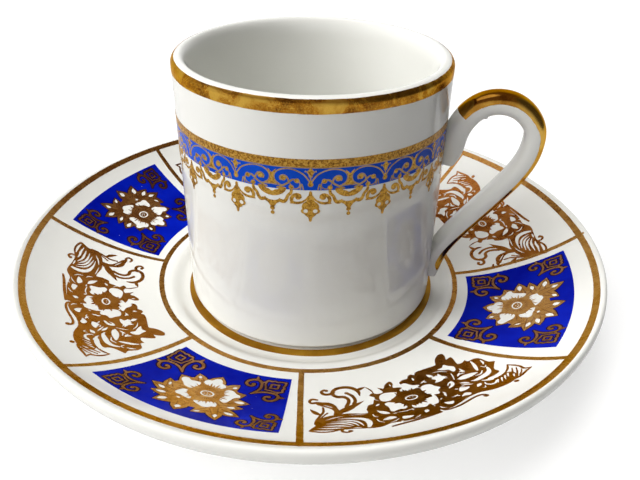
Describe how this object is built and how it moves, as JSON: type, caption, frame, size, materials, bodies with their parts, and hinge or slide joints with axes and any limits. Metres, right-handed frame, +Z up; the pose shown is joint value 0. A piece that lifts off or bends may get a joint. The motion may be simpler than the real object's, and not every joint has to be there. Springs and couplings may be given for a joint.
{
  "type": "espresso cup and saucer",
  "caption": "Straight-sided porcelain espresso cup with an ear handle, standing in the well of a matching saucer with gilt lines and cobalt panels.",
  "frame": {"origin": "on the saucer's axis, at the table under its foot ring", "axes": "+Z up along the axis of the saucer and the cup, +X out through the cup's handle"},
  "size_m": [0.1206, 0.1206, 0.0555],
  "materials": {
    "porcelain": "clear glossy glaze over white porcelain",
    "bright_gold": "bright burnished gilding, a little worn and speckled",
    "saucer_gold": "flat fired gilding, brown gold",
    "cobalt": "glossy cobalt blue enamel"
  },
  "bodies": {
    "saucer": {"saucer": "porcelain", "saucer_rim_line": "saucer_gold", "saucer_inner_line": "saucer_gold", "saucer_well_ring": "saucer_gold", "saucer_spoke_1": "saucer_gold", "saucer_spoke_2": "saucer_gold", "saucer_spoke_3": "saucer_gold", "saucer_spoke_4": "saucer_gold", "saucer_spoke_5": "saucer_gold", "saucer_spoke_6": "saucer_gold", "saucer_spoke_7": "saucer_gold", "saucer_spoke_8": "saucer_gold", "blue_panel_1": "cobalt", "blue_panel_2": "cobalt", "blue_panel_3": "cobalt", "blue_panel_4": "cobalt"},
    "cup": {"cup_body": "porcelain", "cup_handle": "porcelain", "cup_rim_gilding": "bright_gold", "frieze_gilt_band": "bright_gold", "frieze_blue_band": "cobalt", "handle_gilding": "bright_gold"}
  },
  "joints": [
    {"name": "cup_lift", "type": "slide", "parent": "saucer", "child": "cup", "axis": [0, 0, 1], "range_m": [0, 0.08]}
  ]
}
